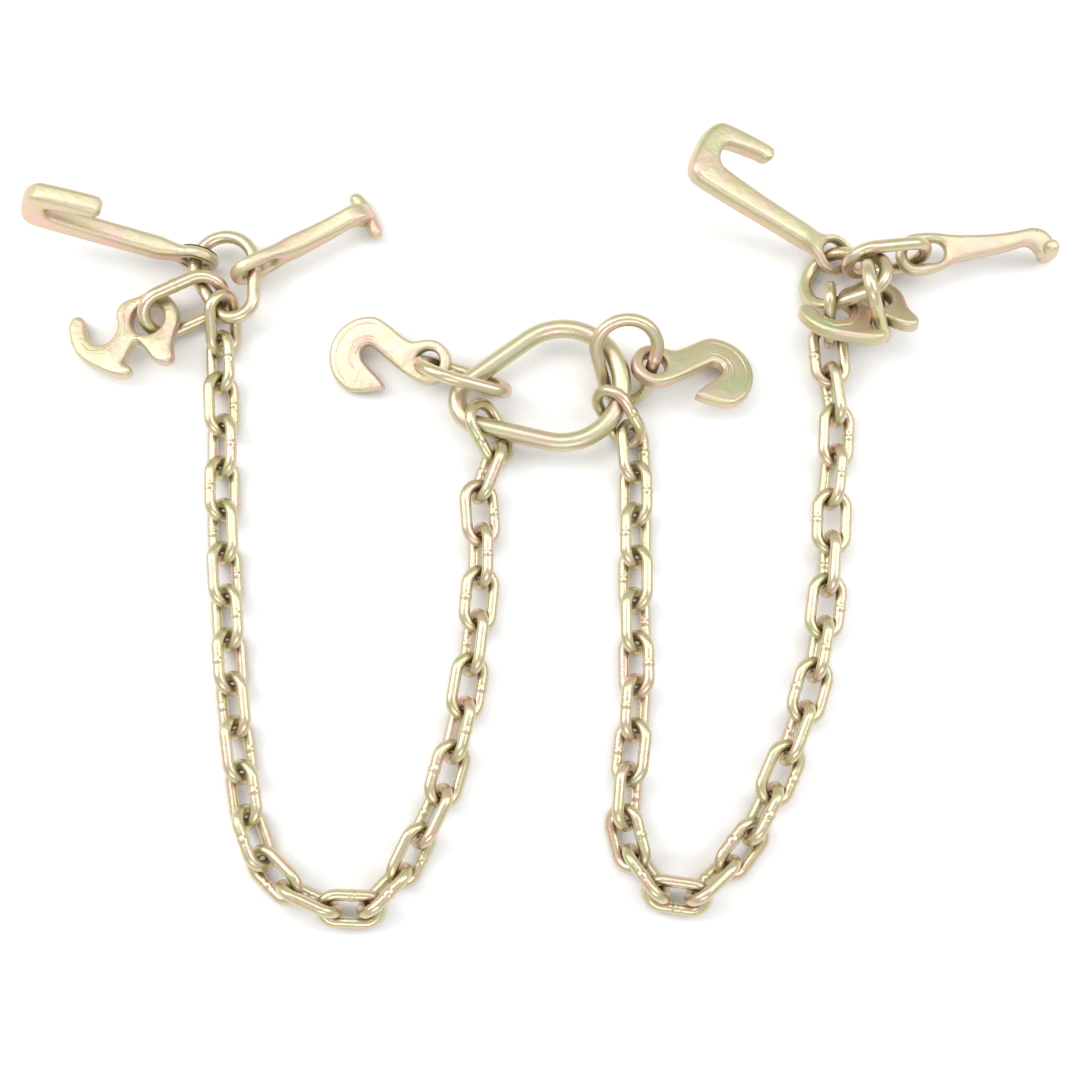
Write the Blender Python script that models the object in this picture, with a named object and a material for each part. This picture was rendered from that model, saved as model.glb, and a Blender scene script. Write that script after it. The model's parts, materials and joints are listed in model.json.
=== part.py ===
"""V-chain tow and tie-down bridle, laid out on the floor.

A pear link joins two legs of 5/16 in chain.  Each leg ends in an oval ring that
carries a J hook, a T hook and an R hook.  Two short rings on the pear link carry
eye grab hooks.  Lengths in the tables are millimetres, angles degrees; the
objects are built in metres with +Z up.
"""
import math

import bmesh
import bpy
from mathutils import Matrix, Vector

MM = 0.001

# ---- driving dimensions (mm) -------------------------------------------------
WIRE = 8.3            # chain wire diameter
PITCH = 32.0          # inside length of a chain link
INNER_W = 12.7        # inside width of a chain link
END_PITCH = 34.9      # inside length of the larger end links on the pear link
END_INNER_W = 16.9    # inside width of the end links
SLACK = 0.8           # play left between two crowns
RING_WIRE = 9.6       # wire of the oval rings and the connecting links
RING_LEN = 73.0       # outside length of an oval ring
RING_WIDE = 53.0      # outside width at the wide end
RING_NARROW = 39.6    # outside width at the narrow end
CONN_LEN = 68.6
CONN_W = 41.4
PEAR_WIRE = 13.4
PEAR_LEN = 130.4
PEAR_WIDE = 97.4
PEAR_NARROW = 49.4
GRAB_T = 10.0         # forging thickness of the grab hook
R_T = 10.0            # forging thickness of the R hook
J_T = 14.6            # J hook shank
J_EYE_T = 9.2
T_T = 13.6            # T hook shank
T_EYE_T = 9.6
T_BAR = 38.0          # length of the T hook's cross bar
LINKS = 28            # chain links in one leg

LINK_SIDES = 6
RING_SIDES = 8


def clear_scene():
    for ob in list(bpy.data.objects):
        bpy.data.objects.remove(ob, do_unlink=True)


def material(name, rgb, rough, metal):
    m = bpy.data.materials.new(name)
    m.use_nodes = True
    b = m.node_tree.nodes["Principled BSDF"]
    b.inputs["Base Color"].default_value = (rgb[0], rgb[1], rgb[2], 1.0)
    b.inputs["Roughness"].default_value = rough
    b.inputs["Metallic"].default_value = metal
    return m


# ---- outlines -----------------------------------------------------------------
def arc(cx, cy, r, a0, a1, n):
    pts = []
    for i in range(n + 1):
        a = math.radians(a0 + (a1 - a0) * i / n)
        pts.append((cx + r * math.cos(a), cy + r * math.sin(a)))
    return pts


def circle(cx, cy, r, n):
    return arc(cx, cy, r, 0.0, 360.0 - 360.0 / n, n - 1)


def oval_line(out_len, out_w, wire, n):
    """Centre line of a straight-sided link."""
    r = (out_w - wire) / 2.0
    s = (out_len - wire) / 2.0 - r
    return arc(s, 0, r, -90, 90, n) + arc(-s, 0, r, 90, 270, n)


def egg_line(out_len, wide, narrow, wire, n):
    """Centre line of a pear-shaped ring: wide end at -x, narrow end at +x."""
    rw = (wide - wire) / 2.0
    rn = (narrow - wire) / 2.0
    half = (out_len - wire) / 2.0
    xw = -half + rw
    xn = half - rn
    al = math.degrees(math.asin((rw - rn) / (xn - xw)))
    return arc(xn, 0, rn, -90 + al, 90 - al, n) + arc(xw, 0, rw, 90 - al, 270 + al, n + 2)


# ---- mesh makers ----------------------------------------------------------------
def sweep_loop(bm, line, r, sides):
    """Round wire swept along a closed flat centre line (mm)."""
    n = len(line)
    rings = []
    for i in range(n):
        p = Vector((line[i][0], line[i][1], 0.0))
        a = Vector((line[i - 1][0], line[i - 1][1], 0.0))
        b = Vector((line[(i + 1) % n][0], line[(i + 1) % n][1], 0.0))
        t = ((p - a).normalized() + (b - p).normalized()).normalized()
        out = Vector((t.y, -t.x, 0.0))
        ring = []
        for k in range(sides):
            w = 2 * math.pi * (k + 0.5) / sides
            ring.append(bm.verts.new((p + out * r * math.cos(w) + Vector((0, 0, r * math.sin(w)))) * MM))
        rings.append(ring)
    for i in range(n):
        a = rings[i]
        b = rings[(i + 1) % n]
        for k in range(sides):
            bm.faces.new((a[k], a[(k + 1) % sides], b[(k + 1) % sides], b[k]))


def inset(line, d):
    """Move a closed counter-clockwise outline inwards by d."""
    n = len(line)
    res = []
    for i in range(n):
        p = Vector(line[i])
        e0 = (p - Vector(line[i - 1])).normalized()
        e1 = (Vector(line[(i + 1) % n]) - p).normalized()
        n0 = Vector((-e0.y, e0.x))
        n1 = Vector((-e1.y, e1.x))
        m = (n0 + n1).normalized()
        k = max(0.6, m.dot(n0))
        res.append(tuple(p + m * (d / k)))
    return res


def forging(bm, outline, hole, thick, chamfer):
    """Flat forging with chamfered rims; thick is a function of the point."""
    loops = [(outline, chamfer)]
    if hole:
        loops.append((list(reversed(hole)), chamfer))
    caps = {-1: [], 1: []}
    for line, c in loops:
        small = inset(line, c)
        rows = []
        for side, pts, drop in ((-1, small, 0.0), (-1, line, c), (1, line, c), (1, small, 0.0)):
            row = []
            for x, y in pts:
                z = side * (thick(x, y) / 2.0 - drop)
                row.append(bm.verts.new(Vector((x, y, z)) * MM))
            rows.append(row)
        n = len(line)
        for a, b in zip(rows[:-1], rows[1:]):
            for i in range(n):
                bm.faces.new((a[i], a[(i + 1) % n], b[(i + 1) % n], b[i]))
        caps[-1].append(rows[0])
        caps[1].append(rows[3])
    for side in (-1, 1):
        edges = []
        for row in caps[side]:
            for i in range(len(row)):
                edges.append(bm.edges.get((row[i], row[(i + 1) % len(row)])))
        bmesh.ops.triangle_fill(bm, edges=edges, use_beauty=True, use_dissolve=False)


def bar(bm, stations, sides):
    """Capped bar: stations are (centre, half height, half width, across, up)."""
    rings = []
    for c, h, w, across, up in stations:
        ring = []
        for k in range(sides):
            a = 2 * math.pi * (k + 0.5) / sides
            side = Vector(across) * w * math.cos(a) + Vector(up) * h * math.sin(a)
            ring.append(bm.verts.new((Vector(c) + side) * MM))
        rings.append(ring)
    for a, b in zip(rings[:-1], rings[1:]):
        for k in range(sides):
            bm.faces.new((a[k], a[(k + 1) % sides], b[(k + 1) % sides], b[k]))
    bm.faces.new(rings[0])
    bm.faces.new(list(reversed(rings[-1])))


def mesh_from(name, fill):
    bm = bmesh.new()
    fill(bm)
    bmesh.ops.remove_doubles(bm, verts=bm.verts, dist=1e-6)
    bmesh.ops.recalc_face_normals(bm, faces=bm.faces)
    me = bpy.data.meshes.new(name)
    bm.to_mesh(me)
    bm.free()
    return me


# ---- hook outlines (mm, counter-clockwise, eye centre at the origin) -------------
def grab_outline():
    body = arc(-42.4, 10.1, 29.0, 66, 236, 9)
    tip = [(-36.5, -15.0), (-32.5, -12.6)]
    slot = [(-47.0, 7.2)] + arc(-42.6, 12.6, 5.8, 205, 40, 4) + [(-19.5, -4.6)]
    eye = arc(0, 0, 16.4, 222, 452, 9)
    neck = [(-7.0, 15.6), (-14.0, 17.6)]
    return body + tip + slot + eye + neck


def r_outline():
    upper = arc(0, 0, 23.0, -20, 100, 5) + [(-10.5, 17.0), (-19.0, 14.2), (-24.3, 8.5), (-24.6, 1.0), (-21.0, -5.5)]
    bowl = [(-21.0, -12.5), (-25.0, -20.5), (-32.0, -23.4), (-39.5, -19.5), (-43.8, -13.0)]
    tip = [(-45.4, -6.2), (-49.5, -1.6), (-55.0, -1.8), (-58.0, -6.5)]
    back = [(-56.8, -14.5), (-52.5, -24.0), (-46.0, -32.0), (-36.0, -38.0), (-23.0, -42.8), (-12.0, -45.6)]
    nub = [(-5.5, -44.5), (-3.2, -40.0), (-6.0, -36.6), (-11.5, -35.6)]
    slot = [(-9.5, -25.0), (-5.4, -16.0), (2.0, -21.8), (10.5, -30.8)]
    lobe = [(17.5, -33.6), (23.6, -31.6), (25.0, -26.5), (21.8, -18.0)]
    return upper + bowl + tip + back + nub + slot + lobe


def j_outline():
    eye = arc(0, 0, 15.6, 34, 326, 10)
    low = [(30.0, -7.6), (101.0, -10.6), (108.0, -15.0), (109.0, -25.0), (104.5, -30.0), (78.0, -35.5)]
    tip = arc(76.5, -41.5, 6.6, 76, 256, 4)
    back = [(113.0, -44.5), (119.5, -40.5), (125.4, -29.0), (126.4, -3.0), (122.6, 5.6), (113.0, 9.0)]
    top = [(30.0, 7.6)]
    return eye + low + tip + back + top


def t_outline():
    eye = arc(-3.0, 0, 15.8, 90, 270, 7)
    low = [(11.0, -14.4), (24.0, -8.6), (38.0, -7.4), (54.0, -6.2), (66.0, -4.6), (75.0, -2.6)]
    low += [(80.0, -7.0), (82.5, -13.0)]
    head = [(94.5, -14.0), (95.0, -5.0), (90.0, 5.0), (81.0, 9.0)]
    top = [(70.0, 7.6), (54.0, 7.2), (38.0, 8.6), (24.0, 10.6), (11.0, 14.6)]
    return eye + low + head + top


def blend(x, x0, x1, a, b):
    t = min(1.0, max(0.0, (x - x0) / (x1 - x0)))
    return a + (b - a) * t * t * (3 - 2 * t)


def fill_link(bm):
    out_l = PITCH + 2 * WIRE
    sweep_loop(bm, oval_line(out_l, INNER_W + 2 * WIRE, WIRE, 4), WIRE / 2, LINK_SIDES)


def fill_end_link(bm):
    sweep_loop(bm, oval_line(END_PITCH + 2 * WIRE, END_INNER_W + 2 * WIRE, WIRE, 5), WIRE / 2, RING_SIDES)


def fill_ring(bm):
    sweep_loop(bm, egg_line(RING_LEN, RING_WIDE, RING_NARROW, RING_WIRE, 6), RING_WIRE / 2, RING_SIDES)


def fill_conn(bm):
    sweep_loop(bm, oval_line(CONN_LEN, CONN_W, RING_WIRE, 6), RING_WIRE / 2, RING_SIDES)


def fill_pear(bm):
    sweep_loop(bm, egg_line(PEAR_LEN, PEAR_WIDE, PEAR_NARROW, PEAR_WIRE, 9), PEAR_WIRE / 2, 10)


def fill_grab(bm):
    forging(bm, grab_outline(), circle(0, 0, 8.4, 12), lambda x, y: GRAB_T, 2.0)


def fill_r(bm):
    forging(bm, r_outline(), circle(0, 0, 12.2, 12), lambda x, y: R_T, 2.0)


def fill_j(bm):
    forging(bm, j_outline(), circle(0, 0, 9.0, 12), lambda x, y: blend(x, 12, 30, J_EYE_T, J_T), 2.2)


def fill_t_shank(bm):
    hole = arc(-3.0, 0, 7.4, 90, 270, 5) + arc(9.0, 0, 7.4, -90, 90, 5)
    forging(bm, t_outline(), hole, lambda x, y: blend(x, 14, 34, T_EYE_T, T_T), 2.2)


def fill_t_bar(bm):
    st = []
    half = ((0.3, 5.6, 7.0), (0.86, 4.8, 4.8), (1.0, 3.4, 3.6))
    for z, h, w in [(-a, b, c) for a, b, c in reversed(half)] + list(half):
        st.append(((89.0 + 1.5 * (1 - z * z), -9.5, z * T_BAR / 2), h, w, (0.34, -0.94, 0), (0.94, 0.34, 0)))
    bar(bm, st, 8)


def cut_solid(name, me, mat):
    ob = bpy.data.objects.new(name, me)
    bpy.context.scene.collection.objects.link(ob)
    if not me.materials:
        me.materials.append(mat)
    return ob


def fuse(base, tool):
    """Join two closed solids into the first one."""
    mod = base.modifiers.new("fuse", "BOOLEAN")
    mod.operation = "UNION"
    mod.solver = "EXACT"
    mod.object = tool
    deps = bpy.context.evaluated_depsgraph_get()
    me = bpy.data.meshes.new_from_object(base.evaluated_get(deps))
    base.modifiers.clear()
    base.data = me
    bpy.data.objects.remove(tool, do_unlink=True)
    bm = bmesh.new()
    bm.from_mesh(me)
    bmesh.ops.remove_doubles(bm, verts=bm.verts, dist=1e-6)
    bm.to_mesh(me)
    bm.free()


# ---- where the pieces lie (mm; heading, pitch and roll in degrees) ----------------
# name, kind, x, y, z, heading, pitch, roll, parent
PIECES = [
    ("pear_link", "pear", -0.5, 113.7, 19.3, -169.0, -2.4, 2.0, ""),
    ("grab_ring_left", "ring", -54.2, 122.3, 22.4, -14.1, -13.3, -65.6, "pear_link"),
    ("grab_hook_left", "grab", -78.6, 134.9, 15.4, 5.6, 10.2, 7.2, "grab_ring_left"),
    ("grab_ring_right", "ring", 60.7, 133.2, 26.6, -90.2, -44.0, -3.5, "pear_link"),
    ("grab_hook_right", "grab", 80.0, 130.0, 22.1, 163.0, 6.7, -159.9, "grab_ring_right"),
    ("link_left_28", "endlink", -35.5, 83.5, 16.8, 121.1, 23.7, 40.8, "pear_link"),
    ("link_left_27", "link", -36.2, 55.0, 14.5, -111.1, -4.5, -116.4, "link_left_28"),
    ("link_right_01", "endlink", 55.4, 94.3, 19.3, -56.4, -28.6, 54.6, "pear_link"),
    ("link_right_02", "link", 66.0, 70.7, 11.4, -85.9, 0.6, -43.2, "link_right_01"),
    ("link_left_01", "link", -225.2, 163.4, 16.8, -88.7, -27.0, -43.5, "link_left_02"),
    ("link_left_02", "link", -226.8, 135.6, 12.3, -86.4, 2.3, 47.7, "?"),
    ("oval_ring_left", "ring", -222.6, 197.3, 18.6, -73.7, 5.5, 6.0, "link_left_01"),
    ("j_hook_left", "jhook", -245.3, 212.7, 14.9, 167.7, 12.3, -85.0, "oval_ring_left"),
    ("t_hook_left", "thook", -203.6, 204.7, 19.2, 29.1, -2.1, 88.5, "oval_ring_left"),
    ("connecting_link_left", "conn", -253.6, 177.5, 16.0, 24.0, 2.7, 41.5, "oval_ring_left"),
    ("r_hook_left", "rhook", -278.5, 166.3, 13.2, -7.1, 9.9, -7.6, "connecting_link_left"),
    ("link_right_27", "link", 205.2, 140.8, 13.9, 93.6, 1.8, 5.5, "?"),
    ("link_right_28", "link", 205.8, 169.0, 18.6, -88.6, -28.0, -80.2, "link_right_27"),
    ("oval_ring_right", "ring", 217.0, 194.9, 23.6, -7.9, 36.3, -10.7, "link_right_28"),
    ("j_hook_right", "jhook", 210.4, 216.4, 12.7, 155.8, 22.5, 10.0, "oval_ring_right"),
    ("connecting_link_right_t", "conn", 246.3, 209.4, 25.6, 11.2, -14.7, -102.4, "oval_ring_right"),
    ("t_hook_right", "thook", 272.4, 214.3, 18.7, 6.9, 2.0, 4.7, "connecting_link_right_t"),
    ("connecting_link_right_r", "conn", 236.7, 175.2, 32.0, -54.3, -58.7, -60.1, "oval_ring_right"),
    ("r_hook_right", "rhook", 237.6, 179.8, 14.8, 7.0, -8.6, -34.9, "connecting_link_right_r"),
]

# Corners the two legs pass through between their placed end links (x, y in mm).
ROUTE_LEFT = [(-224, 85), (-222, 24), (-217, -38), (-211, -101), (-203, -157), (-195, -197),
              (-178, -227), (-152, -247), (-121, -249), (-97, -232), (-83, -203), (-69, -176),
              (-53, -115), (-44, -54), (-39, 10)]
ROUTE_RIGHT = [(67, 22), (66, -40), (66, -103), (60, -160), (58, -192), (63, -219), (79, -239),
               (103, -241), (130, -216), (157, -170), (186, -97), (199, -30), (204, 33), (207, 93)]
# Links in the tight corners, set by hand off the route: x, y, z, heading, pitch, roll.
HAND_SET = {
    ("left", 14): (-178.7, -223.6, 11.9, 136.0, -10.0, -35.5),
    ("left", 15): (-155.0, -239.4, 15.4, 155.8, 1.3, -108.2),
    ("left", 16): (-127.0, -246.0, 11.3, 178.2, 6.3, 147.5),
    ("left", 17): (-104.4, -233.8, 14.5, -133.6, 5.2, 65.0),
    ("left", 18): (-86.9, -210.5, 12.5, -115.8, -5.2, -45.4),
    ("left", 25): (-41.1, -4.8, 13.4, -90.4, -0.0, 61.2),
    ("left", 26): (-41.9, 25.7, 13.9, -85.6, -3.6, -24.3),
    ("right", 11): (59.3, -199.1, 10.5, -76.1, -1.1, 31.5),
    ("right", 12): (71.8, -222.7, 14.7, -54.6, 5.3, 112.1),
    ("right", 13): (92.1, -237.0, 11.2, -8.4, 5.2, -143.5),
    ("right", 14): (115.9, -227.1, 15.4, 43.0, -9.8, -68.6),
    ("right", 15): (136.6, -206.1, 11.2, 52.5, -1.8, 32.9),
    ("right", 24): (205.1, 51.9, 13.8, 82.6, 0.8, 114.6),
    ("right", 25): (208.5, 81.6, 13.2, 86.2, 2.1, -152.0),
    ("right", 26): (207.1, 111.6, 14.7, 95.9, -2.0, -76.7),
}
# Extra play a bend needs where two crowns cross.
BEND_PLAY = 2.0
# Neighbouring links joined into one piece so that the leg fits in the node budget.
JOINED = (4, 6, 8, 19, 21, 23)


def pose(x, y, z, h, p, r):
    rot = Matrix.Rotation(math.radians(h), 3, "Z") @ Matrix.Rotation(-math.radians(p), 3, "Y")
    rot = rot @ Matrix.Rotation(math.radians(r), 3, "X")
    return Vector((x, y, z)), rot


def spline(pts, k):
    """Catmull-Rom curve through the corners."""
    v = [Vector(p) for p in pts]
    v = [2 * v[0] - v[1]] + v + [2 * v[-1] - v[-2]]
    out = []
    for i in range(1, len(v) - 2):
        a, b, c, d = v[i - 1], v[i], v[i + 1], v[i + 2]
        for j in range(k):
            t = j / k
            bend = (2 * a - 5 * b + 4 * c - d) * t * t + (3 * b - a - 3 * c + d) * t ** 3
            out.append(0.5 * (2 * b + (c - a) * t + bend))
    out.append(v[-2])
    return out


def walk(curve, steps):
    """Points on the curve, one chord after another, running straight on at its end."""
    pts = [curve[0].copy()]
    k = 0
    for step in steps:
        cur = pts[-1]
        while k < len(curve) - 1 and (curve[k + 1] - cur).length < step:
            k += 1
        if k >= len(curve) - 1:
            pts.append(cur + (curve[-1] - curve[-2]).normalized() * step)
            continue
        a, b = curve[k], curve[k + 1]
        lo, hi = 0.0, 1.0
        for _ in range(30):
            m = (lo + hi) / 2
            if (a + (b - a) * m - cur).length < step:
                lo = m
            else:
                hi = m
        pts.append(a + (b - a) * hi)
    return pts


def leg_links(first, last, route):
    """Poses of the links between two placed ones, and the play they are left with."""
    reach = (PITCH - SLACK) / 2
    way0 = first[1] @ Vector((1, 0, 0)) * first[2]
    way1 = last[1] @ Vector((1, 0, 0)) * last[2]
    start = first[0] + way0 * reach
    end = last[0] - way1 * reach
    count = LINKS - 4
    curve = spline([start.xy] + [Vector(p) for p in route] + [end.xy], 30)
    ahead = (curve[-1] - curve[-2]).normalized()
    roll0 = plane_roll(first)
    turn = plane_roll(last) - (roll0 + 90 * (count + 1))
    turn -= 180 * round(turn / 180)
    cut = [0.0] * count
    for _ in range(6):
        lo, hi = 20.0, 40.0
        for _ in range(50):
            base = (lo + hi) / 2
            if (walk(curve, [base - c for c in cut])[-1] - curve[-1]).dot(ahead) > 0:
                hi = base
            else:
                lo = base
        flat = walk(curve, [base - c for c in cut])
        knots = []
        for i, p in enumerate(flat):
            a = math.radians(roll0 + 90 * (i + 0.5) + turn * (i + 0.5) / (count + 1) + 45)
            high = max(abs(math.sin(a)), abs(math.cos(a)))
            knots.append(Vector((p.x, p.y, WIRE / 2 + (INNER_W + WIRE) / 2 * high + 0.1)))
        knots[0].z = start.z
        knots[-1].z = end.z
        ways = [way0] + [(b - a).normalized() for a, b in zip(knots[:-1], knots[1:])] + [way1]
        loss = []
        for u, v in zip(ways[:-1], ways[1:]):
            half = u.angle(v) / 2
            short = 1 - math.cos(half) / math.sqrt(1 + math.sin(half) ** 2)
            loss.append((WIRE + SLACK) * BEND_PLAY * short)
        cut = [(loss[i] + loss[i + 1]) / 2 for i in range(count)]
    res = []
    for i in range(count):
        a, b = knots[i], knots[i + 1]
        d = b - a
        r = roll0 + 90 * (i + 1) + turn * (i + 1) / (count + 1)
        h = math.degrees(math.atan2(d.y, d.x))
        res.append(pose(*((a + b) / 2), h, math.degrees(math.asin(d.z / d.length)), r))
    return res


def plane_roll(link):
    """Roll of a placed link about its own direction of travel."""
    x = link[1] @ Vector((1, 0, 0)) * link[2]
    n = link[1] @ Vector((0, 0, 1))
    side = Vector((0, 0, 1)).cross(x).normalized()
    up = x.cross(side).normalized()
    return math.degrees(math.atan2(-n.dot(side), n.dot(up)))


LOOPS = {
    "link": lambda: oval_line(PITCH + 2 * WIRE, INNER_W + 2 * WIRE, WIRE, 12),
    "endlink": lambda: oval_line(END_PITCH + 2 * WIRE, END_INNER_W + 2 * WIRE, WIRE, 12),
    "ring": lambda: egg_line(RING_LEN, RING_WIDE, RING_NARROW, RING_WIRE, 16),
    "conn": lambda: oval_line(CONN_LEN, CONN_W, RING_WIRE, 12),
    "pear": lambda: egg_line(PEAR_LEN, PEAR_WIDE, PEAR_NARROW, PEAR_WIRE, 16),
}
EYES = {"grab": (0, 0, 9.0), "rhook": (0, 0, 12.0), "jhook": (0, 0, 8.0), "thook": (3.0, 0, 13.5)}


def hinge(child_kind, child, parent_kind, parent):
    """Point and axis where the parent's wire runs through the child's eye (mm)."""
    line = LOOPS[parent_kind]()
    pts = [parent[0] + parent[1] @ Vector((x, y, 0)) for x, y in line]
    best = None
    for i in range(len(pts)):
        a = child[1].transposed() @ (pts[i - 1] - child[0])
        b = child[1].transposed() @ (pts[i] - child[0])
        if a.z * b.z > 0 or a.z == b.z:
            continue
        t = a.z / (a.z - b.z)
        q = a + (b - a) * t
        if child_kind in EYES:
            ex, ey, er = EYES[child_kind]
            miss = math.hypot(q.x - ex, q.y - ey) / er
        else:
            hull = LOOPS[child_kind]()
            hx = max(abs(p[0]) for p in hull)
            hy = max(abs(p[1]) for p in hull)
            miss = max(abs(q.x) / hx, abs(q.y) / hy)
        if best is None or miss < best[0]:
            best = (miss, pts[i - 1] + (pts[i] - pts[i - 1]) * t, (pts[i] - pts[i - 1]).normalized())
    return best


def build():
    clear_scene()
    zinc = (0.62, 0.55, 0.36)
    mats = {
        "chain": material("chain_zinc", zinc, 0.36, 1.0),
        "ring": material("ring_zinc", (0.64, 0.55, 0.38), 0.36, 1.0),
        "pear": material("pear_zinc", (0.60, 0.56, 0.38), 0.40, 1.0),
        "hook": material("hook_zinc", (0.60, 0.54, 0.38), 0.48, 1.0),
    }
    t_mesh = cut_solid("t_tmp", mesh_from("t_tmp", fill_t_shank), mats["hook"])
    fuse(t_mesh, cut_solid("t_bar_tmp", mesh_from("t_bar_tmp", fill_t_bar), mats["hook"]))
    t_me = t_mesh.data
    bpy.data.objects.remove(t_mesh, do_unlink=True)
    shapes = {
        "link": (mesh_from("link", fill_link), mats["chain"]),
        "endlink": (mesh_from("end_link", fill_end_link), mats["chain"]),
        "ring": (mesh_from("oval_ring", fill_ring), mats["ring"]),
        "conn": (mesh_from("connecting_link", fill_conn), mats["ring"]),
        "pear": (mesh_from("pear_link", fill_pear), mats["pear"]),
        "grab": (mesh_from("grab_hook", fill_grab), mats["hook"]),
        "rhook": (mesh_from("r_hook", fill_r), mats["hook"]),
        "jhook": (mesh_from("j_hook", fill_j), mats["hook"]),
        "thook": (t_me, mats["hook"]),
    }
    nodes = []
    placed = {}
    for name, kind, x, y, z, h, p, r, parent in PIECES:
        placed[name] = (kind,) + pose(x, y, z, h, p, r)
        nodes.append([name, parent, [(kind,) + pose(x, y, z, h, p, r)]])

    def way(name, other):
        c, rot = placed[name][1], placed[name][2]
        return 1.0 if (placed[other][1] - c).dot(rot @ Vector((1, 0, 0))) > 0 else -1.0

    # Left leg runs pear -> ring; its links are numbered from the ring outwards.
    ends_left = ("link_left_28", "link_left_27", "link_left_02")
    ends_right = ("link_right_01", "link_right_02", "link_right_27")
    for side, route, ends in (("left", list(reversed(ROUTE_LEFT)), ends_left),
                              ("right", ROUTE_RIGHT, ends_right)):
        a = placed[ends[1]]
        b = placed[ends[2]]
        fa = -way(ends[1], ends[0])
        last_end = "link_left_01" if side == "left" else "link_right_28"
        fb = way(ends[2], last_end)
        links = leg_links((a[1], a[2], fa), (b[1], b[2], fb), route)
        numbers = list(range(26, 2, -1)) if side == "left" else list(range(3, 27))
        links = [pose(*HAND_SET[(side, n)]) if (side, n) in HAND_SET else ps for n, ps in zip(numbers, links)]
        parent = ends[1]
        skip = None
        for k, (num, ps) in enumerate(zip(numbers, links)):
            if skip == num:
                skip = None
                continue
            low = min(num, numbers[k + 1]) if k + 1 < len(numbers) else -1
            if low in JOINED and k + 1 < len(numbers):
                other = links[k + 1]
                name = "link_%s_%02d_%02d" % (side, low, low + 1)
                nodes.append([name, parent, [("link",) + ps, ("link",) + other]])
                skip = numbers[k + 1]
            else:
                name = "link_%s_%02d" % (side, num)
                nodes.append([name, parent, [("link",) + ps]])
            parent = name
        for nd in nodes:
            if nd[0] == ends[2]:
                nd[1] = parent

    by_name = {nd[0]: nd for nd in nodes}
    lows = []
    spans = [[1e9, -1e9], [1e9, -1e9]]
    for nd in nodes:
        for kind, c, rot in nd[2]:
            for v in shapes[kind][0].vertices:
                w = c * MM + rot @ v.co
                lows.append(w.z)
                for ax in (0, 1):
                    spans[ax][0] = min(spans[ax][0], w[ax])
                    spans[ax][1] = max(spans[ax][1], w[ax])
    shift = Vector((-(spans[0][0] + spans[0][1]) / 2, -(spans[1][0] + spans[1][1]) / 2, -min(lows)))

    for name, parent, parts in nodes:
        if parent:
            pk = by_name[parent][2]
            hit = hinge(parts[0][0], parts[0][1:], pk[-1][0], pk[-1][1:])
            origin, axis = hit[1], hit[2]
        else:
            origin, axis = parts[0][1], Vector((0, 0, 1))
        solid = None
        for i, (kind, c, rot) in enumerate(parts):
            me = shapes[kind][0].copy()
            m = Matrix.Translation((c - origin) * MM) @ rot.to_4x4()
            me.transform(m)
            ob = cut_solid(name if i == 0 else name + "_b", me, shapes[kind][1])
            if solid is None:
                solid = ob
            else:
                c0 = parts[0][1]
                gap = (c - c0).normalized()
                seize = bmesh.new()
                mid_pt = (c + c0) / 2 - origin
                up = gap.orthogonal().normalized()
                across = gap.cross(up)
                st = [(mid_pt + gap * t, 2.4, 2.4, across, up) for t in (-3.4, 3.4)]
                bar(seize, st, 6)
                bmesh.ops.recalc_face_normals(seize, faces=seize.faces)
                sm = bpy.data.meshes.new("seize")
                seize.to_mesh(sm)
                seize.free()
                fuse(solid, cut_solid("seize", sm, shapes[kind][1]))
                fuse(solid, ob)
        solid.name = name
        solid.data.name = name
        solid.location = origin * MM + shift
        solid["axis"] = list(axis)
        solid["parent_node"] = parent or ""
        for poly in solid.data.polygons:
            poly.use_smooth = True
        solid.data.set_sharp_from_angle(angle=math.radians(50))


build()
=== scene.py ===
"""V-chain tow and tie-down bridle: looks.

Every chain link, ring and hook is drawn as its own round-edged piece in the place of
its CAD solid and rides on that solid's body.  Lengths in the tables are millimetres.
"""

import json
import math

import bmesh
import bpy
from mathutils import Matrix, Vector


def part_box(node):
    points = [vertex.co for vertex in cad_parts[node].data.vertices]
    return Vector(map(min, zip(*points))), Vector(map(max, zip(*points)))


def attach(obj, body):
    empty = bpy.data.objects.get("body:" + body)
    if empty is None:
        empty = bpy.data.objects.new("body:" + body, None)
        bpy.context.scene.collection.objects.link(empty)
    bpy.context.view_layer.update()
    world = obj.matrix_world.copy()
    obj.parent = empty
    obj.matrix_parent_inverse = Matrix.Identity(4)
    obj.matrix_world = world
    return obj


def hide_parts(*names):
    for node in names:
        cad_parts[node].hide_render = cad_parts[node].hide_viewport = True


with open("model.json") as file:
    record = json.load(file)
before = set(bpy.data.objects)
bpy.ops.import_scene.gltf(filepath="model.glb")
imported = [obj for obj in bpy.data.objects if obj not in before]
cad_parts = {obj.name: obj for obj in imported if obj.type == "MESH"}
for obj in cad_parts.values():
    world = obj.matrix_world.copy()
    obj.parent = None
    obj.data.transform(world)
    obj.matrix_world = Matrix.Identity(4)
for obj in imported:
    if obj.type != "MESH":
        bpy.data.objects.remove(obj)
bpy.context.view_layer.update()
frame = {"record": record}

MM = 0.001

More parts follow.
